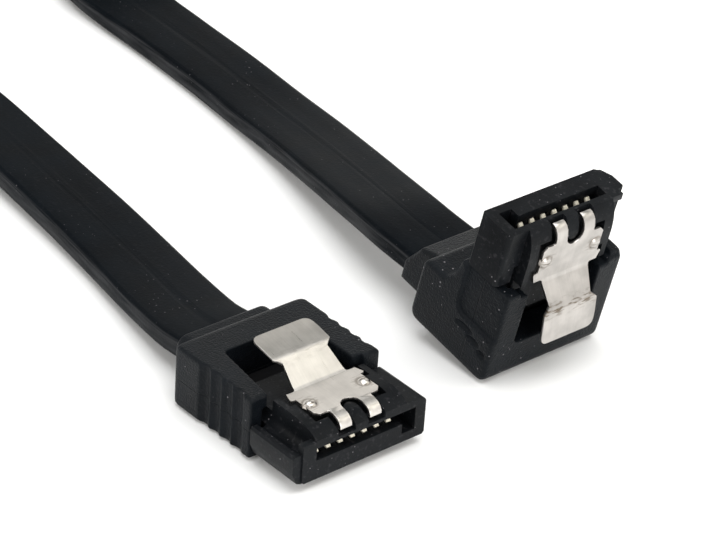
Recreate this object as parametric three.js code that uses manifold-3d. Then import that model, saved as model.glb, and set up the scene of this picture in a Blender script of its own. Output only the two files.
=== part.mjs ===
// Flat data cable with a straight plug at one end and a right-angle plug at the other.
// Each plug is a moulded contact housing, seven spring contacts, a pressed steel latch,
// a wire block and a soft overmould. Units are millimetres, +Z is up.
// The origin is on the table, under the straight plug's overmould,
// and +X is the way the straight plug is pushed home.
import * as THREE from 'three';
import { mergeVertices } from 'three/addons/utils/BufferGeometryUtils.js';
import Module from 'manifold-3d';

const wasm = await Module();
wasm.setup();

// A plug's own axes: x points out of its mouth, y runs along the row of contacts,
// z points to the latch side. The mouth is at x = 0 and the overmould's back is at z = 0.
const clearance = 0.3;
const contactClearance = 0.14;

// Contacts
const contactCount = 7;
const contactPitch = 1.27;
const contactWidth = 0.5;
const contactThickness = 0.24;
const contactTip = 1.0;
const contactBow = 0.72;
const contactFlat = 4.3;
const contactTail = 11.2;

// Slot that takes the drive's tongue, with its key leg at one end
const slotWidth = 10.4;
const slotOffset = 0.55;
const slotHeight = 1.15;
const slotFloor = 2.45;
const slotDepth = 5.2;
const keyWidth = 1.37;
const keyDrop = 0.95;

// Contact housing
const housingWidth = 12.9;
const housingOffset = 0.4;
const housingBack = 0.65;
const shoulderHeight = 4.25;
const housingLength = 5.6;
const footChamfer = 0.2;
const topCornerRound = 0.45;
const sideRibReach = 0.9;
const sideRibLow = 1.9;
const sideRibTop = 3.45;
const sideRibUndercut = 0.45;
const sideRibSetback = 0.15;
const channelRadius = 0.8;
const channelAxis = 3.75;
const channelEnd = 0.65;
const keySideGapLength = 1.7;
const keySideGapWidth = 0.45;
const keySideGapDepth = 0.9;
const stemLength = 4.0;
const stemHalfWidth = 5.2;
const stemLow = 1.0;
const stemHigh = 4.2;

// Raised deck that carries the latch
const deckHalfWidth = 4.75;
const deckHeight = 5.2;
const noseLength = 3.2;
const noseDrop = 0.85;
const recessDepth = 0.85;

// Latch, pressed from spring steel strip
const sheet = 0.25;
const latchHalfWidth = 3.4;
const latchFront = 1.75;
const earHalfWidth = 3.85;
const earFront = 4.4;
const earLength = 0.95;
const prongGap = 1.9;
const prongLength = 1.4;
const prongWidth = 1.2;
const prongTip = 0.15;
const plateLength = 5.6;
const plateRise = 5.4;
const neckHalfWidth = 2.65;
const neckWaist = 2.35;
const neckLength = 2.3;
const tabHalfWidth = 3.0;
const tabRise = 7.2;
const tabLift = 0.45;
const tabLength = 3.0;
const tabCorner = 0.8;
const dimpleRadius = 0.62;
const dimpleHeight = 0.32;
const dimpleSpread = 2.82;
const dimpleFromMouth = 3.35;
const hookDrop = 1.05;
const hookPocket = 0.35;

// Wire block behind the housing
const blockLength = 2.7;
const blockHalfWidth = 4.9;
const blockLow = 1.0;
const blockHigh = 2.7;

// Overmould
const mouldHalfWidth = 6.75;
const mouldHeight = 5.74;
const mouldCorner = 0.6;
const edgeRound = 0.3;
const straightMouldLength = 10.5;
const straightMouldBackRound = 0.9;
const windowHalfWidth = 4.1;
const straightWindowLength = 7.0;
const angledWindowLength = 5.9;
const windowFlare = 0.95;
const gripCount = 4;
const gripPitch = 1.44;
const gripSetback = 1.0;
const gripDepth = 0.35;
const reliefLength = 1.9;
const reliefRound = 1.1;
const reliefHalfWidth = 4.9;
const reliefLow = 0.8;
const reliefHigh = 4.65;
const angledFoot = 15.5;
const angledFootRound = 0.8;
const angledBack = -4.1;
const angledBackTop = 8.9;
const angledLedge = 0.6;
const angledReliefBack = -7.8;
const angledReliefFoot = 14.9;
const lipHeight = 0.5;
const lipLow = 3.75;
const lipChamfer = 0.3;
const lipWidth = 1.3;
const sideRecessDepth = 0.25;
const sideRecessLow = 0.7;
const sideRecessLength = 5.0;
const sideRecessRound = 1.15;
const scoopCount = 3;
const scoopDepth = 0.28;
const scoopHalfWidth = 0.32;
const scoopHalfLength = 1.2;
const scoopShrink = 0.3;
const scoopFirst = 11.7;
const scoopLow = 2.2;
const scoopDrop = 0.55;
const scoopStep = 1.28;

// Where the plugs lie: the right-angle plug's mouth leans forward from upright
const straightForward = 10.725;
const angledLean = 12.3;
const angledForward = 4.96;
const angledSideways = 23.13;

// Flat cable
const cableWidth = 8.0;
const cableThickness = 2.0;
const cableEdgeRound = 0.55;
const coilCentre = new THREE.Vector2(-126, 20);
const coilRadius = 38;
const coilLevels = 2;
const coilLevelRise = 8.1;
const coilLift = 0.75;
const coilSlack = 0.1;
const tieWidth = 5.0;
const tieThickness = 0.45;
const tieAngle = 180;

const blackHousing = { color: 0x1d2024, roughness: 0.45, metalness: 0.0 };
const blackMould = { color: 0x23262a, roughness: 0.6, metalness: 0.0 };
const blackJacket = { color: 0x202326, roughness: 0.5, metalness: 0.0 };
const springSteel = { color: 0xc9c5bb, roughness: 0.35, metalness: 1.0 };
const contactGold = { color: 0xe2c27a, roughness: 0.3, metalness: 1.0 };
const wireBlock = { color: 0x17191c, roughness: 0.7, metalness: 0.0 };
const tieFabric = { color: 0x18191b, roughness: 0.9, metalness: 0.0 };

const slotLeft = slotOffset - slotWidth / 2;
const slotRight = slotOffset + slotWidth / 2;
const slotCeiling = slotFloor + slotHeight;
const housingLeft = housingOffset - housingWidth / 2;
const housingRight = housingOffset + housingWidth / 2;
const mouldFront = -(housingLength + clearance);
const stemEnd = -(housingLength + stemLength);
const recessFloor = deckHeight - recessDepth;
const overreach = 1.0;

// Joins and cuts

function toSolid(geometry) {
  const bare = geometry.clone();
  bare.deleteAttribute('normal');
  bare.deleteAttribute('uv');
  const merged = mergeVertices(bare, 1e-5);
  return new wasm.Manifold(new wasm.Mesh({
    numProp: 3,
    vertProperties: new Float32Array(merged.attributes.position.array),
    triVerts: new Uint32Array(merged.index.array),
  }));
}

function toGeometry(solid) {
  const mesh = solid.getMesh();
  const geometry = new THREE.BufferGeometry();
  geometry.setAttribute('position', new THREE.BufferAttribute(mesh.vertProperties, 3));
  geometry.setIndex(new THREE.BufferAttribute(mesh.triVerts, 1));
  geometry.computeVertexNormals();
  return geometry;
}

function join(solids) {
  return solids.reduce((sum, solid) => sum.add(solid));
}

function cut(solid, tools) {
  return tools.reduce((rest, tool) => rest.subtract(tool), solid);
}

// Prisms along the three axes of a plug

function outline(points) {
  return new THREE.Shape(points.map(([a, b]) => new THREE.Vector2(a, b)));
}

function extruded(shape, length, round = 0) {
  return new THREE.ExtrudeGeometry(shape, {
    depth: length - 2 * round,
    bevelEnabled: round > 0,
    bevelSize: round,
    bevelOffset: -round,
    bevelThickness: round,
    bevelSegments: 2,
    curveSegments: 6,
  }).translate(0, 0, round);
}

function prismAlongZ(shape, low, high, round) {
  return toSolid(extruded(shape, high - low, round).translate(0, 0, low));
}

function prismAlongY(shape, low, high, round) {
  return toSolid(extruded(shape, high - low, round).rotateX(Math.PI / 2).translate(0, high, 0));
}

function prismAlongX(shape, low, high, round) {
  const turn = new THREE.Matrix4().makeBasis(
    new THREE.Vector3(0, 1, 0), new THREE.Vector3(0, 0, 1), new THREE.Vector3(1, 0, 0));
  return toSolid(extruded(shape, high - low, round).applyMatrix4(turn).translate(low, 0, 0));
}

function block(xLow, xHigh, yLow, yHigh, zLow, zHigh) {
  const geometry = new THREE.BoxGeometry(xHigh - xLow, yHigh - yLow, zHigh - zLow);
  geometry.translate((xLow + xHigh) / 2, (yLow + yHigh) / 2, (zLow + zHigh) / 2);
  return toSolid(geometry);
}

function roundedBlockShape(yLow, yHigh, zLow, zHigh, radius) {
  const shape = new THREE.Shape();
  shape.moveTo(yLow + radius, zLow);
  shape.lineTo(yHigh - radius, zLow);
  shape.absarc(yHigh - radius, zLow + radius, radius, -Math.PI / 2, 0);
  shape.lineTo(yHigh, zHigh - radius);
  shape.absarc(yHigh - radius, zHigh - radius, radius, 0, Math.PI / 2);
  shape.lineTo(yLow + radius, zHigh);
  shape.absarc(yLow + radius, zHigh - radius, radius, Math.PI / 2, Math.PI);
  shape.lineTo(yLow, zLow + radius);
  shape.absarc(yLow + radius, zLow + radius, radius, Math.PI, 1.5 * Math.PI);
  return shape;
}

function contactRows() {
  return Array.from({ length: contactCount },
    (_, index) => (index - (contactCount - 1) / 2) * contactPitch);
}

// Contact housing

function deckProfile() {
  const shape = new THREE.Shape();
  shape.moveTo(0, shoulderHeight - overreach);
  shape.lineTo(0, deckHeight - noseDrop);
  shape.quadraticCurveTo(-noseLength * 0.3, deckHeight, -noseLength, deckHeight);
  shape.lineTo(-housingLength, deckHeight);
  shape.lineTo(-housingLength, shoulderHeight - overreach);
  return shape;
}

function housingSection() {
  const shape = new THREE.Shape();
  shape.moveTo(housingLeft + footChamfer, housingBack);
  shape.lineTo(housingRight - footChamfer, housingBack);
  shape.lineTo(housingRight, housingBack + footChamfer);
  shape.lineTo(housingRight, shoulderHeight - topCornerRound);
  shape.absarc(housingRight - topCornerRound, shoulderHeight - topCornerRound,
    topCornerRound, 0, Math.PI / 2);
  shape.lineTo(housingLeft, shoulderHeight);
  shape.lineTo(housingLeft, housingBack + footChamfer);
  return shape;
}

function sideRibSection() {
  const outer = housingLeft - sideRibReach;
  const inner = housingLeft + overreach;
  return outline([
    [inner, housingBack],
    [housingLeft, housingBack],
    [outer + sideRibUndercut, housingBack + footChamfer],
    [outer, sideRibLow],
    [outer, sideRibTop - footChamfer],
    [outer + footChamfer, sideRibTop],
    [inner, sideRibTop],
  ]);
}

function latchRecess() {
  const side = latchHalfWidth + clearance;
  const earSide = earHalfWidth + clearance;
  const earStart = -(earFront - clearance);
  const front = -(latchFront - clearance);
  const prongSide = prongGap / 2 + prongWidth + clearance;
  const back = -(housingLength + overreach);
  const island = prongGap / 2 - clearance;
  const plan = new THREE.Shape();
  plan.moveTo(back, -earSide);
  plan.lineTo(earStart, -earSide);
  plan.lineTo(earStart, -side);
  plan.lineTo(front, -side);
  plan.lineTo(front, -prongSide);
  plan.lineTo(overreach, -prongSide);
  plan.lineTo(overreach, -island);
  plan.lineTo(-prongLength, -island);
  plan.absarc(-prongLength, 0, island, 1.5 * Math.PI, Math.PI / 2, true);
  plan.lineTo(overreach, island);
  plan.lineTo(overreach, prongSide);
  plan.lineTo(front, prongSide);
  plan.lineTo(front, side);
  plan.lineTo(earStart, side);
  plan.lineTo(earStart, earSide);
  plan.lineTo(back, earSide);
  const plateWell = prismAlongZ(plan, recessFloor, deckHeight + overreach, 0);
  const pocketFloor = slotCeiling + clearance;
  const pockets = [[-prongSide, -island], [island, prongSide]].map(([low, high]) => block(
    -(prongTip + hookPocket + clearance), overreach, low, high, pocketFloor, recessFloor + 0.1));
  return [plateWell, ...pockets];
}

function housing() {
  const rib = prismAlongX(sideRibSection(), -housingLength, -sideRibSetback, 0);
  const stem = block(stemEnd, -housingLength + 0.5, -stemHalfWidth, stemHalfWidth, stemLow, stemHigh);
  const body = join([
    prismAlongX(housingSection(), -housingLength, 0, 0),
    prismAlongY(deckProfile(), -deckHalfWidth, deckHalfWidth, 0),
    rib,
    stem,
  ]);
  const channelY = -(deckHalfWidth + channelRadius);
  const channelBack = stemEnd - overreach;
  const trough = new THREE.Shape().absarc(channelY, channelAxis, channelRadius, 0, 2 * Math.PI);
  const channel = [
    prismAlongX(trough, channelBack, -channelEnd, 0),
    block(channelBack, -channelEnd, channelY - channelRadius, -deckHalfWidth,
      channelAxis, shoulderHeight + overreach),
    block(channelBack, -channelEnd, housingLeft - sideRibReach - overreach, channelY,
      sideRibTop, shoulderHeight + overreach),
  ];
  const keySideGap = block(-(housingLength + overreach), -(housingLength - keySideGapLength),
    deckHalfWidth, deckHalfWidth + keySideGapWidth,
    shoulderHeight - keySideGapDepth, shoulderHeight + overreach);
  const slot = block(-slotDepth, overreach, slotLeft, slotRight, slotFloor, slotCeiling);
  const keyLeg = block(-slotDepth, overreach, slotRight - keyWidth, slotRight,
    slotFloor - keyDrop, slotFloor + 0.1);
  const runHalf = contactWidth / 2 + contactClearance;
  const runFloor = slotFloor - contactThickness - 2 * contactClearance;
  const runs = contactRows().map((y) => block(stemEnd - overreach, -(contactTip - contactClearance),
    y - runHalf, y + runHalf, runFloor, slotFloor + 0.01));
  return cut(body, [...channel, keySideGap, slot, keyLeg, ...runs, ...latchRecess()]);
}

// Spring contact: flat tail, rising bow, tip turned back down
function contact(y) {
  const low = slotFloor - contactThickness - contactClearance;
  const top = low + contactThickness;
  const bowTop = top + contactBow;
  const shape = new THREE.Shape();
  shape.moveTo(-contactTail, low);
  shape.lineTo(-contactFlat, low);
  shape.quadraticCurveTo(-3.2, low, -2.5, bowTop - contactThickness - 0.05);
  shape.quadraticCurveTo(-1.9, bowTop - contactThickness + 0.05, -1.35, top + 0.02);
  shape.lineTo(-contactTip, low + 0.14);
  shape.lineTo(-contactTip + 0.05, top + 0.12);
  shape.quadraticCurveTo(-1.5, bowTop, -2.0, bowTop);
  shape.quadraticCurveTo(-2.7, bowTop, -3.2, top + 0.3);
  shape.quadraticCurveTo(-3.6, top, -contactFlat, top);
  shape.lineTo(-contactTail, top);
  return prismAlongY(shape, y - contactWidth / 2, y + contactWidth / 2, 0);
}

// Latch: one strip, bent in profile, with its outline cut across

function latchProfile() {
  const hookX = -prongTip;
  const line = [
    [hookX, plateRise - hookDrop],
    [hookX - 0.04, plateRise - 0.78],
    [hookX - 0.2, plateRise - 0.48],
    [hookX - 0.5, plateRise - 0.22],
    [-prongLength + 0.2, plateRise - 0.04],
    [-prongLength - 0.4, plateRise],
    [-plateLength + 0.3, plateRise],
    [-plateLength - 0.1, plateRise + 0.18],
    [-(plateLength + neckLength) + 0.2, tabRise - 0.15],
    [-(plateLength + neckLength) - 0.2, tabRise],
    [-(plateLength + neckLength + tabLength * 0.5), tabRise + tabLift * 0.6],
    [-(plateLength + neckLength + tabLength), tabRise + tabLift],
  ];
  const under = line.map((point, index) => {
    const before = line[Math.max(index - 1, 0)];
    const after = line[Math.min(index + 1, line.length - 1)];
    const along = new THREE.Vector2(after[0] - before[0], after[1] - before[1]).normalize();
    return [point[0] - along.y * sheet, point[1] + along.x * sheet];
  });
  return outline([...line, ...under.reverse()]);
}

function latchPlan() {
  const neckEnd = -(plateLength + neckLength);
  const tabEnd = neckEnd - tabLength;
  const gap = prongGap / 2;
  const outer = gap + prongWidth;
  const shape = new THREE.Shape();
  shape.moveTo(0.5, gap);
  shape.lineTo(0.5, outer);
  shape.lineTo(-(latchFront - 0.25), outer);
  shape.quadraticCurveTo(-latchFront, outer, -latchFront, outer + 0.25);
  shape.lineTo(-latchFront, latchHalfWidth - 0.4);
  shape.lineTo(-(latchFront + 0.4), latchHalfWidth);
  shape.lineTo(-earFront, latchHalfWidth);
  shape.lineTo(-earFront, earHalfWidth - 0.15);
  shape.lineTo(-(earFront + 0.15), earHalfWidth);
  shape.lineTo(-(earFront + earLength), earHalfWidth - 0.25);
  shape.lineTo(-(earFront + earLength), neckHalfWidth + 0.3);
  shape.quadraticCurveTo(-(earFront + earLength), neckHalfWidth, -plateLength, neckHalfWidth);
  shape.lineTo(neckEnd + 0.4, neckWaist);
  shape.lineTo(neckEnd - 0.1, tabHalfWidth);
  shape.lineTo(tabEnd + tabCorner, tabHalfWidth);
  shape.quadraticCurveTo(tabEnd, tabHalfWidth, tabEnd, tabHalfWidth - tabCorner);
  shape.lineTo(tabEnd, 0);
  const half = shape.getPoints(5).map((point) => [point.x, point.y]);
  const arc = [];
  for (let step = 0; step <= 8; step += 1) {
    const angle = (step / 8) * Math.PI;
    arc.push([-prongLength - gap * Math.sin(angle), gap * Math.cos(angle)]);
  }
  const mirrored = half.slice(0, -1).map(([x, y]) => [x, -y]).reverse();
  return outline([...half, ...mirrored, ...arc.reverse()]);
}

function latch() {
  const profile = prismAlongY(latchProfile(), -earHalfWidth - 1, earHalfWidth + 1, 0);
  const strip = profile.intersect(prismAlongZ(latchPlan(), 0, tabRise + 2 * overreach, 0));
  const reach = (dimpleRadius ** 2 + dimpleHeight ** 2) / (2 * dimpleHeight);
  const dimples = [-1, 1].map((side) => toSolid(new THREE.SphereGeometry(reach, 32, 16)
    .translate(-dimpleFromMouth, side * dimpleSpread, plateRise - 0.03 + dimpleHeight - reach))
    .intersect(block(-dimpleFromMouth - 1, -dimpleFromMouth + 1, side * dimpleSpread - 1,
      side * dimpleSpread + 1, plateRise - sheet * 0.8, plateRise + 1)));
  return join([strip, ...dimples]);
}

// Wire block: holds the contact tails where the wires are soldered
function wireBlockSolid() {
  const front = stemEnd - clearance;
  const body = prismAlongX(
    roundedBlockShape(-blockHalfWidth, blockHalfWidth, blockLow, blockHigh, 0.3),
    front - blockLength, front, 0);
  const half = contactWidth / 2 + contactClearance;
  const low = slotFloor - contactThickness - 2 * contactClearance;
  const holes = contactRows().map((y) => block(-(contactTail + contactClearance), front + overreach,
    y - half, y + half, low, slotFloor));
  return cut(body, holes);
}

// Overmoulds

function windowShape(length, flare) {
  const back = mouldFront - length;
  const front = mouldFront + overreach;
  const corner = 0.3;
  const flared = windowHalfWidth + flare * (length + overreach) / length;
  return outline([
    [back, corner - windowHalfWidth], [back + corner, -windowHalfWidth],
    [front, -flared], [front, windowHalfWidth],
    [back + corner, windowHalfWidth], [back, windowHalfWidth - corner],
  ]);
}

function plugCavity(windowLength, flare) {
  const stem = block(stemEnd - clearance, mouldFront + overreach,
    -(stemHalfWidth + clearance), stemHalfWidth + clearance,
    stemLow - clearance, stemHigh + clearance);
  const blockEnd = stemEnd - clearance - blockLength - clearance;
  const blockRoom = block(blockEnd, stemEnd, -(blockHalfWidth + clearance),
    blockHalfWidth + clearance, blockLow - clearance, blockHigh + clearance);
  const window = prismAlongZ(windowShape(windowLength, flare),
    blockHigh, mouldHeight + overreach, 0);
  const mouthRelief = block(mouldFront - 0.45, mouldFront + overreach,
    -(deckHalfWidth + clearance), deckHalfWidth + clearance, stemHigh, mouldHeight + overreach);
  return [stem, blockRoom, window, mouthRelief];
}

function gripOutline(side, from, to) {
  const points = [];
  const steps = 6;
  for (let grip = 0; grip < gripCount; grip += 1) {
    for (let step = 0; step < steps; step += 1) {
      const along = (grip + step / steps) * gripPitch;
      const dip = gripDepth * Math.sin((step / steps) * Math.PI);
      points.push([from - along, side * (mouldHalfWidth - dip)]);
    }
  }
  points.push([to, side * mouldHalfWidth]);
  return points;
}

// The straight overmould from the side, with its upper back edge well rounded
function straightProfile(rear) {
  const back = straightMouldBackRound;
  const shape = new THREE.Shape();
  shape.moveTo(rear + edgeRound, 0);
  shape.lineTo(mouldFront - edgeRound, 0);
  shape.absarc(mouldFront - edgeRound, edgeRound, edgeRound, -Math.PI / 2, 0);
  shape.lineTo(mouldFront, mouldHeight - edgeRound);
  shape.absarc(mouldFront - edgeRound, mouldHeight - edgeRound, edgeRound, 0, Math.PI / 2);
  shape.lineTo(rear + back, mouldHeight);
  shape.absarc(rear + back, mouldHeight - back, back, Math.PI / 2, Math.PI);
  shape.lineTo(rear, edgeRound);
  shape.absarc(rear + edgeRound, edgeRound, edgeRound, Math.PI, 1.5 * Math.PI);
  return shape;
}

function straightMould() {
  const rear = mouldFront - straightMouldLength;
  const gripStart = mouldFront - gripSetback;
  const gripEnd = gripStart - gripCount * gripPitch;
  const right = gripOutline(1, gripStart, gripEnd);
  const left = gripOutline(-1, gripStart, gripEnd).reverse();
  const plan = outline([
    [mouldFront, mouldHalfWidth], ...right,
    [rear + mouldCorner, mouldHalfWidth], [rear, mouldHalfWidth - mouldCorner],
    [rear, -(mouldHalfWidth - mouldCorner)], [rear + mouldCorner, -mouldHalfWidth],
    ...left, [mouldFront, -mouldHalfWidth],
  ]);
  const relief = prismAlongX(
    roundedBlockShape(-reliefHalfWidth, reliefHalfWidth, reliefLow, reliefHigh, reliefRound),
    rear - reliefLength, rear + overreach, edgeRound);
  const across = roundedBlockShape(-mouldHalfWidth, mouldHalfWidth, 0, mouldHeight, edgeRound);
  const body = prismAlongZ(plan, -overreach, mouldHeight + overreach, 0)
    .intersect(prismAlongX(across, rear - overreach, mouldFront + overreach, 0))
    .intersect(prismAlongY(straightProfile(rear), -mouldHalfWidth - overreach,
      mouldHalfWidth + overreach, 0));
  return cut(body.add(relief), plugCavity(straightWindowLength, windowFlare));
}

function angledProfile() {
  const round = angledFootRound;
  const shape = new THREE.Shape();
  shape.moveTo(mouldFront, mouldHeight);
  shape.lineTo(mouldFront, 0);
  shape.quadraticCurveTo(mouldFront - angledLedge, -0.2, -angledBackTop + angledFootRound, -0.6);
  shape.lineTo(-angledBackTop, -1.4);
  shape.lineTo(-angledBackTop, angledBack + round);
  shape.absarc(-angledBackTop - round, angledBack + round, round, 0, -Math.PI / 2, true);
  shape.lineTo(-angledFoot + round, angledBack);
  shape.absarc(-angledFoot + round, angledBack + round, round, -Math.PI / 2, -Math.PI, true);
  shape.lineTo(-angledFoot, mouldHeight - round);
  shape.absarc(-angledFoot + round, mouldHeight - round, round, Math.PI, Math.PI / 2, true);
  return shape;
}

function angledRelief() {
  const shape = outline([
    [-angledBackTop - 0.7, angledBack + overreach],
    [-angledBackTop - 0.7, angledBack],
    [-angledBackTop - 1.5, angledBack - 2.2],
    [-angledBackTop - 4.0, angledReliefBack],
    [-angledReliefFoot, angledReliefBack],
    [-angledReliefFoot, angledBack + overreach],
  ]);
  return prismAlongY(shape, -reliefHalfWidth, reliefHalfWidth, edgeRound);
}

// Shallow step in one side, where the finger meets the housing
function angledSideRecess() {
  const front = mouldFront + overreach;
  const top = mouldHeight + overreach;
  const foot = mouldFront - sideRecessLength;
  const shape = new THREE.Shape();
  shape.moveTo(front, sideRecessLow);
  shape.lineTo(foot + sideRecessRound, sideRecessLow);
  shape.quadraticCurveTo(foot, sideRecessLow, foot, sideRecessLow + sideRecessRound);
  shape.lineTo(foot, top);
  shape.lineTo(front, top);
  return prismAlongY(shape, mouldHalfWidth - sideRecessDepth, mouldHalfWidth + overreach, 0);
}

// Small lip at the mouth, beside the latch
function angledLip() {
  const top = mouldFront + lipHeight;
  const inner = lipWidth - mouldHalfWidth;
  return prismAlongZ(outline([
    [mouldFront - overreach, -mouldHalfWidth],
    [top - lipChamfer, -mouldHalfWidth],
    [top, lipChamfer - mouldHalfWidth],
    [top, inner],
    [mouldFront - overreach, inner],
  ]), lipLow, mouldHeight - edgeRound, edgeRound / 2);
}

function scoop(index, side) {
  return toSolid(new THREE.SphereGeometry(1, 20, 12)
    .scale(scoopHalfWidth, scoopDepth, scoopHalfLength - index * scoopShrink)
    .translate(-(scoopFirst + index * scoopDrop), side * mouldHalfWidth,
      scoopLow + index * scoopStep));
}

function angledMould() {
  const body = prismAlongY(angledProfile(), -mouldHalfWidth, mouldHalfWidth, edgeRound);
  const scoops = [];
  for (const side of [-1, 1]) {
    for (let index = 0; index < scoopCount; index += 1) {
      scoops.push(scoop(index, side));
    }
  }
  return cut(body.add(angledRelief()).add(angledLip()),
    [angledSideRecess(), ...scoops, ...plugCavity(angledWindowLength, 0)]);
}

// Flat cable, swept along a smooth curve with its own roll

class FlatCableCurve extends THREE.CatmullRomCurve3 {
  constructor(route) {
    super(route.map(([x, y, z]) => new THREE.Vector3(x, y, z)), false, 'centripetal');
    this.rolls = route.map((point) => THREE.MathUtils.degToRad(point[3]));
  }

  rollAt(fraction) {
    const place = this.getUtoTmapping(fraction) * (this.rolls.length - 1);
    const index = Math.min(Math.floor(place), this.rolls.length - 2);
    return THREE.MathUtils.lerp(this.rolls[index], this.rolls[index + 1], place - index);
  }

  computeFrenetFrames(segments) {
    const up = new THREE.Vector3(0, 0, 1);
    const frames = { tangents: [], normals: [], binormals: [] };
    for (let step = 0; step <= segments; step += 1) {
      const tangent = this.getTangentAt(step / segments);
      const side = new THREE.Vector3().crossVectors(up, tangent).normalize();
      const normal = side.applyAxisAngle(tangent, this.rollAt(step / segments));
      frames.tangents.push(tangent);
      frames.normals.push(normal);
      frames.binormals.push(new THREE.Vector3().crossVectors(tangent, normal));
    }
    return frames;
  }
}

function cableSection() {
  const half = cableWidth / 2;
  const thick = cableThickness / 2;
  const corner = cableEdgeRound;
  return outline([
    [half - corner, -thick], [half, -thick + corner], [half, thick - corner],
    [half - corner, thick], [-half + corner, thick], [-half, thick - corner],
    [-half, -thick + corner], [-half + corner, -thick],
  ]);
}

function cableLeg(route, steps) {
  return new THREE.ExtrudeGeometry(cableSection(), {
    steps, bevelEnabled: false, extrudePath: new FlatCableCurve(route),
  });
}

// Routes of the two free legs: x, y, z and roll in degrees, from each plug to the coil
const straightRoute = [
  [-7.9, 0, 2.7, 0],
  [-10.2, 0.1, 2.35, 0],
  [-12.8, 0.55, 2.0, 0.5],
  [-18, 1.6, 1.5, 1],
  [-24.3, 2.8, 1.2, 2],
  [-31.5, 3.8, 1.25, 3],
  [-39.3, 4.65, 1.35, 4],
  [-47, 5.5, 1.4, 5],
  [-54.3, 6.3, 1.5, 7],
  [-60.5, 6.75, 1.9, 14],
  [-66.5, 6.9, 2.8, 28],
  [-72.5, 5.9, 3.7, 48],
  [-78.5, 3.2, 4.4, 69],
  [-84.5, 0.1, 4.75, 84],
  [-90, -3.1, 4.75, 90],
  [-95.05, -6.0, 4.75, 90],
];
const angledRoute = [
  [-6.15, 23.15, 4.35, 0],
  [-9.5, 23.45, 4.4, 0],
  [-13.3, 24.2, 4.2, 0],
  [-18.5, 25.6, 3.5, 0],
  [-24.3, 27.2, 2.7, 0],
  [-31.5, 29.0, 1.8, 0],
  [-39.3, 30.4, 1.15, 0],
  [-48, 31.5, 1.0, 0],
  [-57.3, 32.2, 1.0, 0],
  [-64, 32.4, 1.3, -3],
  [-70, 32.7, 2.4, -16],
  [-75.5, 34.6, 4.4, -36],
  [-80.5, 37.5, 6.9, -58],
  [-85.5, 40.5, 9.3, -76],
  [-90, 43.1, 11.2, -87],
  [-95.05, 46.0, 12.35, -90],
];

// The coiled length stands on edge in two levels, so its outer shape is a ring
function coil() {
  const inner = coilRadius - cableThickness / 2 - coilSlack;
  const outer = coilRadius + cableThickness / 2 + coilSlack;
  const top = coilLift + cableWidth + (coilLevels - 1) * coilLevelRise;
  const profile = [
    new THREE.Vector2(inner, coilLift),
    new THREE.Vector2(outer, coilLift),
    new THREE.Vector2(outer, top),
    new THREE.Vector2(inner, top),
    new THREE.Vector2(inner, coilLift),
  ];
  return new THREE.LatheGeometry(profile, 72).rotateX(Math.PI / 2)
    .translate(coilCentre.x, coilCentre.y, 0);
}

// The tie is a band round both levels of the coil
function coilTie() {
  const inner = coilRadius - cableThickness / 2 - coilSlack - clearance;
  const outer = coilRadius + cableThickness / 2 + coilSlack + clearance;
  const top = coilLift + cableWidth + (coilLevels - 1) * coilLevelRise + clearance;
  const band = roundedBlockShape(inner - tieThickness, outer + tieThickness,
    0, top + tieThickness, 0.6);
  band.holes.push(roundedBlockShape(inner, outer, tieThickness, top, 0.15));
  return extruded(band, tieWidth).rotateX(Math.PI / 2).translate(0, tieWidth / 2, 0)
    .rotateZ(THREE.MathUtils.degToRad(tieAngle)).translate(coilCentre.x, coilCentre.y, 0);
}

// Assembly

function addMesh(group, name, geometry, finish) {
  const mesh = new THREE.Mesh(geometry, new THREE.MeshStandardMaterial(finish));
  mesh.name = name;
  group.add(mesh);
}

function plug(name, mould) {
  const group = new THREE.Group();
  addMesh(group, `${name}_housing`, toGeometry(housing()), blackHousing);
  contactRows().forEach((y, index) => {
    addMesh(group, `${name}_contact_${index + 1}`, toGeometry(contact(y)), contactGold);
  });
  addMesh(group, `${name}_latch`, toGeometry(latch()), springSteel);
  addMesh(group, `${name}_wire_block`, toGeometry(wireBlockSolid()), wireBlock);
  addMesh(group, `${name}_overmould`, toGeometry(mould), blackMould);
  return group;
}

const cable = new THREE.Group();

const straightPlug = plug('straight', straightMould());
straightPlug.position.set(straightForward, 0, 0);
cable.add(straightPlug);

const angledPlug = plug('angled', angledMould());
const lean = THREE.MathUtils.degToRad(angledLean);
angledPlug.quaternion.setFromRotationMatrix(new THREE.Matrix4().makeBasis(
  new THREE.Vector3(Math.sin(lean), 0, Math.cos(lean)),
  new THREE.Vector3(0, -1, 0),
  new THREE.Vector3(Math.cos(lean), 0, -Math.sin(lean))));
angledPlug.position.set(angledForward, angledSideways,
  (angledFoot - angledFootRound) * Math.cos(lean)
  + (mouldHeight - angledFootRound) * Math.sin(lean) + angledFootRound);
cable.add(angledPlug);

addMesh(cable, 'cable_straight_leg', cableLeg(straightRoute, 40), blackJacket);
addMesh(cable, 'cable_angled_leg', cableLeg(angledRoute, 40), blackJacket);
addMesh(cable, 'cable_coil', coil(), blackJacket);
addMesh(cable, 'coil_tie', coilTie(), tieFabric);

export default cable;
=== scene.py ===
import math

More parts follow.
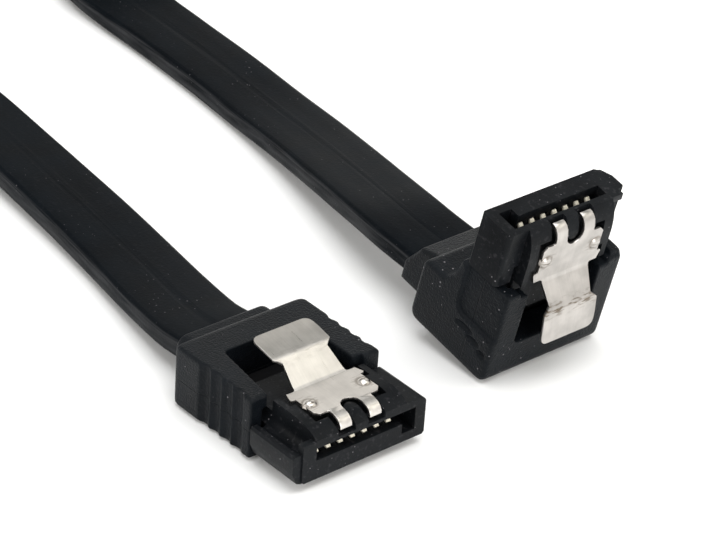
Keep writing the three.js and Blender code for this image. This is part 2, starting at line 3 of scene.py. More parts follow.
import bmesh
import bpy
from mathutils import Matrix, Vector


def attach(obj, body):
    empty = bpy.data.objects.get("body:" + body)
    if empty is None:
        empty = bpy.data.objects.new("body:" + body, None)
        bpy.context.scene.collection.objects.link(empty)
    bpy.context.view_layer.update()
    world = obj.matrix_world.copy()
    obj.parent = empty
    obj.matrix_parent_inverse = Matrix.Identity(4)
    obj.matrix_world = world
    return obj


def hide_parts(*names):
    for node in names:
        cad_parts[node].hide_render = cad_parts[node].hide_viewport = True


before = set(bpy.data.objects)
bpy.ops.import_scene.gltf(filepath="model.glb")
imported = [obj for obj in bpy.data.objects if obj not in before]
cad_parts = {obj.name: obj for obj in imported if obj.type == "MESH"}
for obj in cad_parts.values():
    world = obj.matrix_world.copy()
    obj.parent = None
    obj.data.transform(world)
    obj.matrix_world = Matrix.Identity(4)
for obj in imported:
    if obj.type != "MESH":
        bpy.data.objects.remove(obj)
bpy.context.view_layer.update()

# Camera: a long lens looks down on the two plugs from in front of them and to their right,
# with the cable running away to the upper left and its tied coil out of the frame.
LENS = 154.38
FILM_WIDTH = 36.0
NEAR_CLIP = 0.01
CAMERA_PLACE = (0.161825, -0.138547, 0.142075)
CAMERA_TILT, CAMERA_ROLL, CAMERA_TURN = 58.791, -3.510, 49.910

bpy.ops.object.select_all(action="DESELECT")
bpy.ops.object.camera_add(
    location=CAMERA_PLACE,
    rotation=[math.radians(angle) for angle in (CAMERA_TILT, CAMERA_ROLL, CAMERA_TURN)],
)
camera = bpy.context.object
camera.name = "camera"
camera.data.lens = LENS
camera.data.sensor_fit = "HORIZONTAL"
camera.data.sensor_width = FILM_WIDTH
camera.data.clip_start = NEAR_CLIP
bpy.context.scene.camera = camera

# Flat cable: two rows of wires in one extruded soft PVC jacket, 8 mm wide and 2 mm thick.
# It leaves each plug through the collar, lies on the table, and turns up on edge
# where the spare length is wound twice round and tied.
MM = 0.001
CABLE_WIDTH = 8.0 * MM
CABLE_THICKNESS = 2.0 * MM
CABLE_EDGE = 0.5 * MM
CABLE_EDGE_STEPS = 4
CABLE_GROOVE_WIDTH = 0.6 * MM
CABLE_GROOVE_DEPTH = 0.02 * MM
CABLE_MAP_HEIGHT = 2 * CABLE_WIDTH
CABLE_STEP = 1.2 * MM
CABLE_SHARP_ANGLE = 35
COIL_CENTRE = (-126 * MM, 20 * MM)
COIL_RADIUS = 38 * MM
COIL_LOW = 4.75 * MM
COIL_RISE = 8.1 * MM
COIL_JOIN = 60
COIL_POINT_ANGLE = 12
ON_EDGE = 90

# Each row is x, y, z in millimetres and the roll of the flat side in degrees.
straight_route = [
    (-7.2, 0, 2.75, 0),
    (-10.2, 0.1, 2.35, 0),
    (-12.8, 0.55, 2.0, 0.5),
    (-18, 1.6, 1.5, 1),
    (-24.3, 2.8, 1.2, 2),
    (-31.5, 3.8, 1.25, 3),
    (-39.3, 4.65, 1.35, 4),
    (-47, 5.5, 1.4, 5),
    (-54.3, 6.3, 1.5, 7),
    (-60.5, 6.75, 1.9, 14),
    (-66.5, 6.9, 2.8, 28),
    (-72.5, 5.9, 3.7, 48),
    (-78.5, 3.2, 4.4, 69),
    (-84.5, 0.1, 4.75, 84),
    (-90, -3.1, 4.75, 90),
    (-95.05, -6.0, 4.75, 90),
]
angled_route = [
    (-4.9, 23.04, 4.34, 0),
    (-9.5, 23.45, 4.4, 0),
    (-13.3, 24.2, 4.2, 0),
    (-18.5, 25.6, 3.5, 0),
    (-24.3, 27.2, 2.7, 0),
    (-31.5, 29.0, 1.8, 0),
    (-39.3, 30.4, 1.15, 0),
    (-48, 31.5, 1.0, 0),
    (-57.3, 32.2, 1.0, 0),
    (-64, 32.4, 1.3, -3),
    (-70, 32.7, 2.4, -16),
    (-75.5, 34.6, 4.4, -36),
    (-80.5, 37.5, 6.9, -58),
    (-85.5, 40.5, 9.3, -76),
    (-90, 43.1, 11.2, -87),
    (-95.05, 46.0, 12.35, -90),
]


def coil_turns():
    """The two levels of the coil, from the straight plug's leg round to the other one."""
    points = []
    sweep = 360 + 2 * (180 - COIL_JOIN)
    climb_start, climb_sweep = 360 - 2 * COIL_JOIN, 2 * COIL_JOIN
    for step in range(0, sweep + 1, COIL_POINT_ANGLE):
        angle = math.radians(-COIL_JOIN - step)
        climb = min(max((step - climb_start) / climb_sweep, 0), 1)
        height = COIL_LOW + COIL_RISE * climb * climb * (3 - 2 * climb)
        points.append((
            COIL_CENTRE[0] + COIL_RADIUS * math.cos(angle),
            COIL_CENTRE[1] + COIL_RADIUS * math.sin(angle),
            height,
            ON_EDGE,
        ))
    return points


def smooth_line(points, step):
    """Points about one step apart on the smooth curve that passes through the given ones."""
    line = []
    ends = [points[0]] + points + [points[-1]]
    for before, start, stop, after in zip(ends, ends[1:], ends[2:], ends[3:]):
        count = max(1, round((Vector(stop[:3]) - Vector(start[:3])).length / step))
        for index in range(count):
            t = index / count
            line.append([
                start[k] + 0.5 * t * (
                    stop[k] - before[k]
                    + t * (2 * before[k] - 5 * start[k] + 4 * stop[k] - after[k]
                           + t * (3 * (start[k] - stop[k]) + after[k] - before[k])))
                for k in range(4)
            ])
    line.append(list(points[-1]))
    return line


def jacket_section():
    """The outline across the jacket: rounded edges and a shallow groove along each face."""
    half, thick = CABLE_WIDTH / 2, CABLE_THICKNESS / 2
    groove = [(0, thick - CABLE_GROOVE_DEPTH), (CABLE_GROOVE_WIDTH / 2, thick),
              (CABLE_GROOVE_WIDTH, thick), (half / 2, thick)]
    corner = []
    for step in range(CABLE_EDGE_STEPS + 1):
        angle = math.radians(90 * step / CABLE_EDGE_STEPS)
        corner.append((half - CABLE_EDGE + CABLE_EDGE * math.sin(angle),
                       thick - CABLE_EDGE + CABLE_EDGE * math.cos(angle)))
    quarter = groove + corner
    right = quarter + [(x, -z) for x, z in reversed(quarter)]
    return right + [(-x, z) for x, z in reversed(right)][1:-1]


def swept_jacket(name, line):
    """A closed tube of the jacket's section along the line, with metres along it as its map."""
    section = jacket_section()
    mesh = bmesh.new()
    mapping = mesh.loops.layers.uv.new("along")
    rings, distance, distances = [], 0, []
    for index, point in enumerate(line):
        here = Vector(point[:3])
        ahead = Vector(line[min(index + 1, len(line) - 1)][:3])
        behind = Vector(line[max(index - 1, 0)][:3])
        forward = (ahead - behind).normalized()
        level = Vector((0, 0, 1)).cross(forward).normalized()
        roll = math.radians(point[3])
        across = level * math.cos(roll) + forward.cross(level) * math.sin(roll)
        upward = forward.cross(across)
        rings.append([mesh.verts.new(here + across * x + upward * z) for x, z in section])
        distance += (here - behind).length
        distances.append(distance)
    for index in range(len(rings) - 1):
        for side in range(len(section)):
            other = (side + 1) % len(section)
            face = mesh.faces.new((rings[index][side], rings[index][other],
                                   rings[index + 1][other], rings[index + 1][side]))
            places = [(index, side), (index, side + 1), (index + 1, side + 1), (index + 1, side)]
            for corner, (ring, place) in zip(face.loops, places):
                corner[mapping].uv = (distances[ring], place / len(section) * CABLE_MAP_HEIGHT)
    mesh.faces.new(list(reversed(rings[0])))
    mesh.faces.new(rings[-1])
    mesh.normal_update()
    bmesh.ops.recalc_face_normals(mesh, faces=mesh.faces)
    data = bpy.data.meshes.new(name)
    mesh.to_mesh(data)
    mesh.free()
    piece = bpy.data.objects.new(name, data)
    bpy.context.scene.collection.objects.link(piece)
    return piece


def shade_by_angle(piece, angle):
    """Smooth shading, with the corners sharper than the angle kept."""
    bpy.ops.object.select_all(action="DESELECT")
    piece.select_set(True)
    bpy.context.view_layer.objects.active = piece
    bpy.ops.object.shade_smooth_by_angle(angle=math.radians(angle))


def new_material(name, color, roughness, metallic=0.0, specular=0.5):
    """A material with one Principled shader; returns it with its shader and its node tree."""
    material = bpy.data.materials.new(name)
    material.use_nodes = True
    shader = material.node_tree.nodes["Principled BSDF"]
    shader.inputs["Base Color"].default_value = (*color, 1)
    shader.inputs["Roughness"].default_value = roughness
    shader.inputs["Metallic"].default_value = metallic
    shader.inputs["Specular IOR Level"].default_value = specular
    return material, shader, material.node_tree


def feed(tree, socket, value):
    """Gives the socket a number or a colour, or links another node's output to it."""
    if isinstance(value, bpy.types.NodeSocket):
        tree.links.new(value, socket)
    else:
        socket.default_value = value


def arithmetic(tree, operation, first, second=0.0):
    """The output of one Math node."""
    step = tree.nodes.new("ShaderNodeMath")
    step.operation = operation
    feed(tree, step.inputs[0], first)
    feed(tree, step.inputs[1], second)
    return step.outputs[0]


def ranged(tree, source, low, high, to_low=0.0, to_high=1.0):
    """The source's values from low to high, spread from to_low to to_high and held there."""
    spread = tree.nodes.new("ShaderNodeMapRange")
    spread.inputs["From Min"].default_value = low
    spread.inputs["From Max"].default_value = high
    spread.inputs["To Min"].default_value = to_low
    spread.inputs["To Max"].default_value = to_high
    tree.links.new(source, spread.inputs["Value"])
    return spread.outputs["Result"]


def noise(tree, place, scale, detail):
    """Soft noise over the place; the scale counts its waves in a metre."""
    texture = tree.nodes.new("ShaderNodeTexNoise")
    feed(tree, texture.inputs["Scale"], scale)
    texture.inputs["Detail"].default_value = detail
    tree.links.new(place, texture.inputs["Vector"])
    return texture.outputs["Fac"]


def relief(tree, height, depth, under=None):
    """The Bump node that follows the height, over the normal that lies under it."""
    bump = tree.nodes.new("ShaderNodeBump")
    bump.inputs["Distance"].default_value = depth
    tree.links.new(height, bump.inputs["Height"])
    if under:
        tree.links.new(under, bump.inputs["Normal"])
    return bump


def mixed(tree, factor, first, second):
    """The first colour, turned into the second where the factor is 1."""
    blend = tree.nodes.new("ShaderNodeMix")
    blend.data_type = "RGBA"
    tree.links.new(factor, blend.inputs["Factor"])
    feed(tree, blend.inputs["A"], first)
    feed(tree, blend.inputs["B"], second)
    return blend.outputs["Result"]


def scaled(tree, vector, factor):
    """The vector or colour times the factor."""
    product = tree.nodes.new("ShaderNodeVectorMath")
    product.operation = "SCALE"
    feed(tree, product.inputs[0], vector)
    tree.links.new(factor, product.inputs["Scale"])
    return product.outputs["Vector"]


def distance_along(tree, place, direction):
    """How far the place lies along the direction."""
    reach = tree.nodes.new("ShaderNodeVectorMath")
    reach.operation = "DOT_PRODUCT"
    reach.inputs[1].default_value = direction
    tree.links.new(place, reach.inputs[0])
    return reach.outputs["Value"]


def moulded_group():
    """Moulded plastic's surface: fine grain, slow colour drift, dust in drifts, and scuffs."""
    group = bpy.data.node_groups.new("moulded surface", "ShaderNodeTree")
    sockets = [
        ("Vector", "Vector", (0, 0, 0)), ("Grain Size", "Float", 6000.0),
        ("Dust", "Float", 0.5), ("Scuffs", "Float", 0.0),
        ("Color", "Color", (0.02, 0.022, 0.025, 1)), ("Roughness", "Float", 0.5),
    ]
    for name, kind, value in sockets:
        socket = group.interface.new_socket(
            name, in_out="INPUT", socket_type=f"NodeSocket{kind}")
        socket.default_value = value
    for name, kind in (("Color", "Color"), ("Roughness", "Float"), ("Height", "Float")):
        group.interface.new_socket(name, in_out="OUTPUT", socket_type=f"NodeSocket{kind}")
    given = group.nodes.new("NodeGroupInput").outputs
    result = group.nodes.new("NodeGroupOutput").inputs
    place = given["Vector"]

    specks = group.nodes.new("ShaderNodeTexVoronoi")
    specks.inputs["Scale"].default_value = 1500
    group.links.new(place, specks.inputs["Vector"])
    clumps = noise(group, place, scale=190, detail=2)
    speck_size = ranged(group, clumps, 0.37, 0.7, 0.0, 0.13)
    speck = arithmetic(group, "LESS_THAN", specks.outputs["Distance"], speck_size)
    dust = arithmetic(group, "MULTIPLY", speck, given["Dust"])
    rubs = ranged(group, noise(group, place, scale=2600, detail=5), 0.57, 0.75)
    rubbed = arithmetic(group, "MULTIPLY", rubs, given["Scuffs"])

    drift = noise(group, place, scale=260, detail=4)
    shade = scaled(group, given["Color"], ranged(group, drift, 0.3, 0.7, 0.75, 1.3))
    pale = arithmetic(group, "MAXIMUM", dust, rubbed)
    group.links.new(mixed(group, pale, shade, (0.21, 0.2, 0.215, 1)), result["Color"])
    rough = ranged(group, drift, 0.25, 0.75, 0.86, 1.14)
    group.links.new(arithmetic(group, "MULTIPLY", rough, given["Roughness"]),
                    result["Roughness"])
    grain = noise(group, place, given["Grain Size"], detail=3)
    group.links.new(grain, result["Height"])
    return group


moulded = moulded_group()


def plastic(name, color, roughness, grain_size, grain_depth, dust, specular, scuffs):
    """A moulded plastic, with its surface and grain nodes named in its tree."""
    material, shader, tree = new_material(name, color, roughness, specular=specular)
    surface = tree.nodes.new("ShaderNodeGroup")
    surface.name = "surface"
    surface.node_tree = moulded
    values = {"Grain Size": grain_size, "Dust": dust, "Scuffs": scuffs,
              "Color": (*color, 1), "Roughness": roughness}
    for socket, value in values.items():
        surface.inputs[socket].default_value = value
    place = tree.nodes.new("ShaderNodeTexCoord")
    tree.links.new(place.outputs["Object"], surface.inputs["Vector"])
    tree.links.new(surface.outputs["Color"], shader.inputs["Base Color"])
    tree.links.new(surface.outputs["Roughness"], shader.inputs["Roughness"])
    grain = relief(tree, surface.outputs["Height"], grain_depth)
    grain.name = "grain"
    tree.links.new(grain.outputs["Normal"], shader.inputs["Normal"])
    return material


# The jacket's fine lines run along the cable, over broad waves; its narrow sides get a painted
# sheen, paler in streaks. Its map has metres along the cable and, upwards, the way round
# the section.
DRAWN_OUT = 0.06
SIDE_SHEEN = 0.42
SIDE_SHEEN_WIDTH, SIDE_SHEEN_END = 0.08, 0.15

jacket_black = plastic(
    "jacket PVC", (0.0032, 0.0046, 0.0062), roughness=0.36, grain_size=4200,
    grain_depth=0.012 * MM, dust=0.32, specular=0.019, scuffs=0.02)
jacket_tree = jacket_black.node_tree
jacket_map = jacket_tree.nodes.new("ShaderNodeUVMap")
jacket_map.uv_map = "along"
jacket_drawn = jacket_tree.nodes.new("ShaderNodeMapping")
jacket_drawn.inputs["Scale"].default_value = (DRAWN_OUT, 1, 1)
jacket_tree.links.new(jacket_map.outputs["UV"], jacket_drawn.inputs["Vector"])
jacket_waves = noise(jacket_tree, jacket_drawn.outputs["Vector"], scale=520, detail=1)
jacket_lines = noise(jacket_tree, jacket_drawn.outputs["Vector"], scale=2600, detail=3)
jacket_wavy = relief(jacket_tree, jacket_waves, 0.16 * MM)
jacket_lined = relief(jacket_tree, jacket_lines, 0.02 * MM, jacket_wavy.outputs["Normal"])
jacket_tree.links.new(jacket_lined.outputs["Normal"],
                      jacket_tree.nodes["grain"].inputs["Normal"])

jacket_round = jacket_tree.nodes.new("ShaderNodeSeparateXYZ")
jacket_tree.links.new(jacket_map.outputs["UV"], jacket_round.inputs["Vector"])
half_turns = arithmetic(jacket_tree, "MULTIPLY", jacket_round.outputs["Y"], 1 / CABLE_WIDTH)
from_side = arithmetic(
    jacket_tree, "ABSOLUTE",
    arithmetic(jacket_tree, "SUBTRACT", arithmetic(jacket_tree, "FRACT", half_turns), 0.5))
# Painted sheen: the narrow sides are coloured paler, in streaks along the lines.
painted_side_sheen = arithmetic(
    jacket_tree, "MULTIPLY",
    ranged(jacket_tree, from_side, SIDE_SHEEN_WIDTH, SIDE_SHEEN_END, SIDE_SHEEN, 0.0),
    ranged(jacket_tree, jacket_lines, 0.35, 0.65))
jacket_sheened = mixed(jacket_tree, painted_side_sheen, jacket_tree.nodes["surface"].outputs["Color"],
                      (0.075, 0.076, 0.08, 1))
jacket_tree.links.new(jacket_sheened, jacket_tree.nodes["Principled BSDF"].inputs["Base Color"])

leg_in = [(x * MM, y * MM, z * MM, roll) for x, y, z, roll in straight_route]
leg_out = [(x * MM, y * MM, z * MM, -roll) for x, y, z, roll in reversed(angled_route)]
cable_line = smooth_line(leg_in + coil_turns() + leg_out, CABLE_STEP)
cable = swept_jacket("cable_jacket", cable_line)
cable.data.materials.append(jacket_black)
shade_by_angle(cable, CABLE_SHARP_ANGLE)
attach(cable, "root")
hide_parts("cable_straight_leg", "cable_angled_leg", "cable_coil")

# Coil tie: a strip of woven hook-and-loop strap, wrapped once round both levels of the coil.
# It carries the node's own shape, and its weave runs round the band.
WEAVE_SCALE = 620
WEAVE_WANDER = 1.5
WEAVE_DEPTH = 0.12 * MM

tie_cloth, tie_shader, tie_tree = new_material("tie strap", (0.016, 0.016, 0.018), 0.85)
tie_place = tie_tree.nodes.new("ShaderNodeTexCoord")
tie_weave = tie_tree.nodes.new("ShaderNodeTexWave")
tie_weave.inputs["Scale"].default_value = WEAVE_SCALE
tie_weave.inputs["Distortion"].default_value = WEAVE_WANDER
tie_weave.bands_direction = "DIAGONAL"
tie_tree.links.new(tie_place.outputs["Object"], tie_weave.inputs["Vector"])
tie_relief = relief(tie_tree, tie_weave.outputs["Fac"], WEAVE_DEPTH)
tie_tree.links.new(tie_relief.outputs["Normal"], tie_shader.inputs["Normal"])
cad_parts["coil_tie"].material_slots[0].material = tie_cloth

# Contact housings: stiff glass-filled plastic, injection moulded in one shot, with the
# keyed slot in front, seven runs for the contacts and the latch's recess on the deck.
HOUSING_ROUND = 0.09 * MM
JOIN_REACH = 0.002 * MM
BEVEL_ANGLE = 32
SHARP_ANGLE = 38
FLAT_WEIGHT = 90


def merged_copy(node, name):
    """A copy of the node's own shape, with its loose triangles joined."""
    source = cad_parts[node]
    piece = bpy.data.objects.new(name, source.data.copy())
    bpy.context.scene.collection.objects.link(piece)
    piece.data.materials.clear()
    bpy.ops.object.select_all(action="DESELECT")
    piece.select_set(True)
    bpy.context.view_layer.objects.active = piece
    bpy.ops.object.mode_set(mode="EDIT")
    bpy.ops.mesh.select_all(action="SELECT")
    bpy.ops.mesh.remove_doubles(threshold=JOIN_REACH)
    bpy.ops.object.mode_set(mode="OBJECT")
    return piece


def rounded_copy(node, name, width, segments=2, dissolve=1.0):
    """The node's own shape with its edges rounded as a mould or a press leaves them."""
    piece = merged_copy(node, name)
    bpy.ops.object.mode_set(mode="EDIT")
    bpy.ops.mesh.select_all(action="SELECT")
    bpy.ops.mesh.dissolve_limited(angle_limit=math.radians(dissolve))
    bpy.ops.object.mode_set(mode="OBJECT")
    edge = piece.modifiers.new("rounded edges", "BEVEL")
    edge.width = width
    edge.segments = segments
    edge.limit_method = "ANGLE"
    edge.angle_limit = math.radians(BEVEL_ANGLE)
    edge.use_clamp_overlap = True
    bpy.ops.object.modifier_apply(modifier=edge.name)
    shade_by_angle(piece, SHARP_ANGLE)
    flats = piece.modifiers.new("flat faces kept flat", "WEIGHTED_NORMAL")
    flats.keep_sharp = True
    flats.weight = FLAT_WEIGHT
    bpy.ops.object.modifier_apply(modifier=flats.name)
    return piece


housing_black = plastic(
    "housing PBT", (0.0056, 0.0065, 0.0078), roughness=0.36, grain_size=6500,
    grain_depth=0.012 * MM, dust=0.7, specular=0.08, scuffs=0.1)
for plug in ("straight", "angled"):
    shell = rounded_copy(f"{plug}_housing", f"{plug}_housing_shell", HOUSING_ROUND)
    shell.data.materials.append(housing_black)
    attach(shell, "root")
    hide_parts(f"{plug}_housing")

# Overmoulds: softer plastic shot over the back of the housing and the end of the cable,
# with grip scallops on the sides, a window under the latch's tab and a collar for the cable.
MOULD_GRID = 0.11 * MM
MOULD_SOFTENING = 5
MOULD_HALF_WIDTH = 6.75 * MM
MOULD_REAR = -5.675 * MM
CORNER_SOFTENING = 30
CORNER_REACH = 0.9 * MM
SMOOTH_SHARE = 0.5
PARTING_WIDTH = 0.07 * MM
PARTING_DEPTH = 0.05 * MM
ANGLED_LEAN = math.radians(12.3)
ANGLED_MOUTH = Vector((4.96, 23.13, 16.215)) * MM
ANGLED_FOOT = 15.5 * MM
ANGLED_FRONT = 5.74 * MM


def soft_copy(node, name, near_corner):
    """The node's own shape with a soft moulding's edges, and its outer corners well rounded."""
    piece = merged_copy(node, name)
    grid = piece.modifiers.new("even grid", "REMESH")
    grid.mode = "VOXEL"
    grid.voxel_size = MOULD_GRID
    bpy.ops.object.modifier_apply(modifier=grid.name)
    corners = piece.vertex_groups.new(name="worn corners")
    near = [vertex.index for vertex in piece.data.vertices if near_corner(vertex.co)]
    corners.add(near, 1.0, "REPLACE")
    wear = piece.modifiers.new("worn corners", "SMOOTH")
    wear.factor = SMOOTH_SHARE
    wear.iterations = CORNER_SOFTENING
    wear.vertex_group = corners.name
    bpy.ops.object.modifier_apply(modifier=wear.name)
    soften = piece.modifiers.new("softened edges", "SMOOTH")
    soften.factor = SMOOTH_SHARE
    soften.iterations = MOULD_SOFTENING
    bpy.ops.object.modifier_apply(modifier=soften.name)
    bpy.ops.object.shade_smooth()
    return piece


def overmould_black(name, opening, parting):
    """Overmould plastic; the mould's halves open along a direction and meet in a fine line."""
    material = plastic(
        name, (0.004, 0.0054, 0.0072), roughness=0.4, grain_size=5200,
        grain_depth=0.07 * MM, dust=0.9, specular=0.09, scuffs=0.03)
    tree = material.node_tree
    place = tree.nodes.new("ShaderNodeTexCoord")
    level = distance_along(tree, place.outputs["Object"], opening)
    away = arithmetic(tree, "ABSOLUTE", arithmetic(tree, "SUBTRACT", level, parting))
    line = relief(tree, ranged(tree, away, 0.0, PARTING_WIDTH), PARTING_DEPTH)
    tree.links.new(line.outputs["Normal"], tree.nodes["grain"].inputs["Normal"])
    return material


def straight_corner(place):
    """True beside the body's rear edges: the lower one and the two upright ones."""
    behind = place.x - MOULD_REAR
    aside = MOULD_HALF_WIDTH - abs(place.y)
    low = math.hypot(behind, place.z) < CORNER_REACH
    upright = math.hypot(behind, aside) < CORNER_REACH
    return low or upright


def angled_corner(place):
    """True beside the foot's edges and the front's upright ones, in the leaning plug's axes."""
    arm = place - ANGLED_MOUTH
    down = ANGLED_FOOT + arm.x * math.sin(ANGLED_LEAN) + arm.z * math.cos(ANGLED_LEAN)
    front = ANGLED_FRONT - arm.x * math.cos(ANGLED_LEAN) + arm.z * math.sin(ANGLED_LEAN)
    aside = MOULD_HALF_WIDTH - abs(arm.y)
    foot_front = math.hypot(down, front) < CORNER_REACH
    foot_side = math.hypot(down, aside) < CORNER_REACH
    front_side = math.hypot(front, aside) < CORNER_REACH
    return foot_front or foot_side or front_side


# Each row is the plug, the way its mould opens, how far along that way the halves meet,
# and the test for its worn corners.
mould_halves = [
    ("straight", (0, 0, 1), 2.72 * MM, straight_corner),
    ("angled", (0.977, 0, -0.213), 4.11 * MM, angled_corner),
]
for plug, opening, parting, near_corner in mould_halves:
    body = soft_copy(f"{plug}_overmould", f"{plug}_overmould_body", near_corner)
    body.data.materials.append(overmould_black(f"{plug} overmould PVC", opening, parting))
    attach(body, "root")
    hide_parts(f"{plug}_overmould")

# Wire blocks: a plain black block that holds the contact tails behind each housing.
# It shows only at the bottom of the window, under the latch's tab.
block_black = plastic(
    "block nylon", (0.0033, 0.0033, 0.0038), roughness=0.65, grain_size=3000,
    grain_depth=0.01 * MM, dust=0.3, specular=0.12, scuffs=0.0)
for plug in ("straight", "angled"):
    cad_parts[f"{plug}_wire_block"].material_slots[0].material = block_black

# Latches: thin stainless strip, blanked, bent and dimpled in a press, then tumbled.
# The rolling lines run along the strip, with grime in the bends and light handling stains,
# and painted shade in a thin line along the tab's bend and in a ring round each dimple.
LATCH_EDGE = 0.035 * MM
LATCH_FLAT_ANGLE = 0.5
TAB_BEND = 7.8 * MM
BEND_GRIME = (0.1 * MM, 0.85 * MM)
BEND_SHADE_LINE = (0.03 * MM, 0.12 * MM)
DIMPLE_BEHIND = 3.35 * MM
DIMPLE_ASIDE = 2.82 * MM
DIMPLE_RADIUS = 0.62 * MM
DIMPLE_GRIME = (0.4 * MM, 1.2 * MM)
DIMPLE_SHADE_RIM = 0.2 * MM
GRIME_AND_SHADE_BROWN = (0.16, 0.13, 0.10, 1)
ROLLED_WAVES = (260.0, 6500.0)
SCRATCH_WAVES = (5200.0, 900.0)


def stretched(tree, along, across, waves_along, waves_across):
    """A place on the strip, with so many waves of a noise in a metre each way."""
    place = tree.nodes.new("ShaderNodeCombineXYZ")
    tree.links.new(arithmetic(tree, "MULTIPLY", along, waves_along), place.inputs["X"])
    tree.links.new(arithmetic(tree, "MULTIPLY", across, waves_across), place.inputs["Y"])
    return place.outputs["Vector"]


def latch_grime_and_shade(tree, behind, across, middle, stains, scratches, stain):
    """Grime round the tab's bend and both dimples; painted shade in the bend's crease and dimple
    rims.
    """
    bend = arithmetic(tree, "ABSOLUTE", arithmetic(tree, "SUBTRACT", behind, TAB_BEND))
    near_bend = ranged(tree, bend, *BEND_GRIME, stains, 0.0)
    # Painted shade: a thin dark line along the tab's bend, where shade falls in the crease.
    bend_shade_line = ranged(tree, bend, *BEND_SHADE_LINE, 0.5 * stains, 0.0)
    aside = arithmetic(tree, "ABSOLUTE", arithmetic(tree, "SUBTRACT", across, middle))
    dimple = tree.nodes.new("ShaderNodeCombineXYZ")
    tree.links.new(arithmetic(tree, "SUBTRACT", behind, DIMPLE_BEHIND), dimple.inputs["X"])
    tree.links.new(arithmetic(tree, "SUBTRACT", aside, DIMPLE_ASIDE), dimple.inputs["Y"])
    to_dimple = tree.nodes.new("ShaderNodeVectorMath")
    to_dimple.operation = "LENGTH"
    tree.links.new(dimple.outputs["Vector"], to_dimple.inputs[0])
    near_dimple = ranged(tree, to_dimple.outputs["Value"], *DIMPLE_GRIME, 0.8, 0.0)
    # Painted shade: a dark ring round each dimple's edge.
    from_rim = arithmetic(tree, "SUBTRACT", to_dimple.outputs["Value"], DIMPLE_RADIUS)
    painted_rim_shade = ranged(tree, arithmetic(tree, "ABSOLUTE", from_rim), 0.0, DIMPLE_SHADE_RIM, 0.6, 0.0)
    patches = arithmetic(tree, "MULTIPLY",
                         arithmetic(tree, "MAXIMUM", near_bend, near_dimple),
                         ranged(tree, scratches, 0.5, 0.6))
    broken_bend_shade = arithmetic(tree, "MULTIPLY", bend_shade_line, ranged(tree, stain, 0.4, 0.55, 0.25, 1.0))
    return arithmetic(tree, "MAXIMUM", arithmetic(tree, "MAXIMUM", patches, painted_rim_shade), broken_bend_shade)


def latch_steel(name, color, forward, mouth, middle, stains):
    """Rolled steel: lines along the strip, slow stains, brown grime in scratches and brown
    painted shade.
    """
    material, shader, tree = new_material(name, color, roughness=0.34, metallic=1.0)
    texture_place = tree.nodes.new("ShaderNodeTexCoord")
    place = texture_place.outputs["Object"]
    behind = arithmetic(tree, "SUBTRACT", mouth, distance_along(tree, place, forward))
    sides = tree.nodes.new("ShaderNodeSeparateXYZ")
    tree.links.new(place, sides.inputs["Vector"])
    across = sides.outputs["Y"]

    lines = noise(
        tree, stretched(tree, behind, across, *ROLLED_WAVES), scale=1.0, detail=4)
    scratches = noise(
        tree, stretched(tree, behind, across, *SCRATCH_WAVES), scale=1.0, detail=5)
    stain = noise(tree, place, scale=520, detail=6)
    grime_and_shade = latch_grime_and_shade(tree, behind, across, middle, stains, scratches, stain)
    worn = ranged(tree, stain, 0.35, 0.7, 1.06, 0.88 - 0.12 * stains)
    rolled = ranged(tree, lines, 0.3, 0.7, 0.96, 1.03)
    shade = scaled(tree, color, arithmetic(tree, "MULTIPLY", worn, rolled))
    tree.links.new(mixed(tree, grime_and_shade, shade, GRIME_AND_SHADE_BROWN), shader.inputs["Base Color"])
    tree.links.new(ranged(tree, lines, 0.0, 1.0, 0.25, 0.33), shader.inputs["Roughness"])
    fine_lines = relief(tree, lines, 0.0012 * MM)
    tree.links.new(fine_lines.outputs["Normal"], shader.inputs["Normal"])
    return material


# Each row is the plug, its steel, the way its mouth faces, how far its mouth and its
# middle lie along that way and along Y, and how stained the strip is. The strips are one
# steel, and the angled strip's darker colour is painted shade.
strips = [
    ("straight", (0.64, 0.61, 0.575), (1, 0, 0), 10.725 * MM, 0.0, 0.25),
    ("angled", (0.52, 0.495, 0.47), (0.21303, 0, 0.97705), 16.9 * MM, 23.13 * MM, 1.0),
]
for plug, color, forward, mouth, middle, stains in strips:
    strip = rounded_copy(
        f"{plug}_latch", f"{plug}_latch_strip", LATCH_EDGE, dissolve=LATCH_FLAT_ANGLE)
    strip.data.materials.append(
        latch_steel(f"{plug} latch steel", color, forward, mouth, middle, stains))
    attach(strip, f"{plug}_latch_body")
    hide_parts(f"{plug}_latch")

# Contacts: seven springs of copper alloy in each plug, gold plated, bowed up in the slot.
# They are stamped, so their faces are smooth and their edges crisp. Their colour is pale and
# almost non-metal: a painted highlight for the glint of the plating.
CONTACT_EDGE = 0.1 * MM
CONTACT_EDGE_STEPS = 3
GOLD_ROUGHNESS = (0.32, 0.48)

gold, gold_shader, gold_tree = new_material(
    "contact gold", (1.0, 0.94, 0.78), roughness=0.45, metallic=0.1)
gold_place = gold_tree.nodes.new("ShaderNodeTexCoord")
gold_wear = noise(gold_tree, gold_place.outputs["Object"], scale=900, detail=2)
gold_tree.links.new(ranged(gold_tree, gold_wear, 0.0, 1.0, *GOLD_ROUGHNESS),
                    gold_shader.inputs["Roughness"])
for plug in ("straight", "angled"):
    for number in range(1, 8):
        node = f"{plug}_contact_{number}"
        spring = rounded_copy(
            node, f"{plug}_contact_spring_{number}", CONTACT_EDGE, CONTACT_EDGE_STEPS)
        spring.data.materials.append(gold)
        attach(spring, "root")
        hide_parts(node)

# Studio: a white table that runs out of sight, a white surround that is dimmer above
# the horizon and bright again overhead, one broad soft lamp above and three smaller ones.
TABLE_SIZE = 4.0
TABLE_GAP = 0.0002
SURROUND_STRENGTH = 1.14
LAMP_AIM = Vector((0, 0.01, 0))

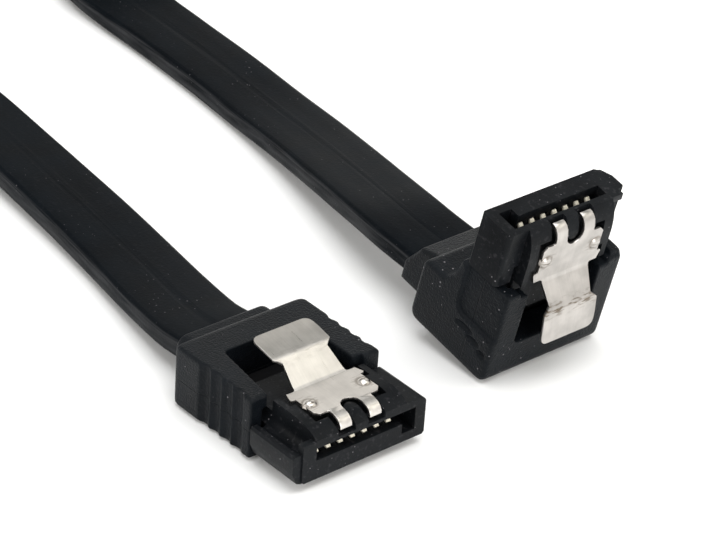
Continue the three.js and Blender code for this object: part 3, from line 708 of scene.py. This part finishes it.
bpy.ops.object.select_all(action="DESELECT")
bpy.ops.mesh.primitive_plane_add(size=TABLE_SIZE, location=(0, 0, -TABLE_GAP))
table = bpy.context.object
table.name = "table_top"
table_white = new_material("table white", (0.97, 0.97, 0.97), roughness=0.9, specular=0.2)
table.data.materials.append(table_white[0])

surround = bpy.data.worlds.new("surround")
bpy.context.scene.world = surround
surround.use_nodes = True
sky_nodes, sky_links = surround.node_tree.nodes, surround.node_tree.links
sky_place = sky_nodes.new("ShaderNodeTexCoord")
sky_split = sky_nodes.new("ShaderNodeSeparateXYZ")
sky_ramp = sky_nodes.new("ShaderNodeValToRGB")
bands = sky_ramp.color_ramp.elements
bands[0].position = 0.63
bands[0].color = (1, 0.985, 0.95, 1)
bands[1].position = 0.95
bands[1].color = (1, 1, 1, 1)
for height, shade in ((0.68, (0.05, 0.06, 0.045, 1)), (0.82, (0.2, 0.21, 0.2, 1))):
    bands.new(height).color = shade
sky_links.new(sky_place.outputs["Generated"], sky_split.inputs["Vector"])
sky_links.new(sky_split.outputs["Z"], sky_ramp.inputs["Fac"])
sky_links.new(sky_ramp.outputs["Color"], sky_nodes["Background"].inputs["Color"])
sky_nodes["Background"].inputs["Strength"].default_value = SURROUND_STRENGTH

# Each row is the lamp's name, place, side in metres, power in watts and tint.
lamps = [
    ("overhead", (0.08, 0.02, 0.75), 0.7, 3.6, (1, 1, 1)),
    ("right", (0.29, 0.39, 0.51), 0.44, 0.53, (1, 0.97, 0.86)),
    ("mouth", (0.55, -0.06, 0.14), 0.25, 1.15, (1, 1, 1)),
    ("left", (-0.15, -0.5, 0.3), 0.4, 0.65, (1, 1, 1)),
]
for name, place, size, power, tint in lamps:
    aim = (Vector(place) - LAMP_AIM).to_track_quat("Z", "Y").to_euler()
    bpy.ops.object.light_add(type="AREA", location=place, rotation=aim)
    lamp = bpy.context.object
    lamp.name = f"lamp_{name}"
    lamp.data.shape = "SQUARE"
    lamp.data.size = size
    lamp.data.energy = power
    lamp.data.color = tint
bpy.context.scene.view_settings.view_transform = "Standard"
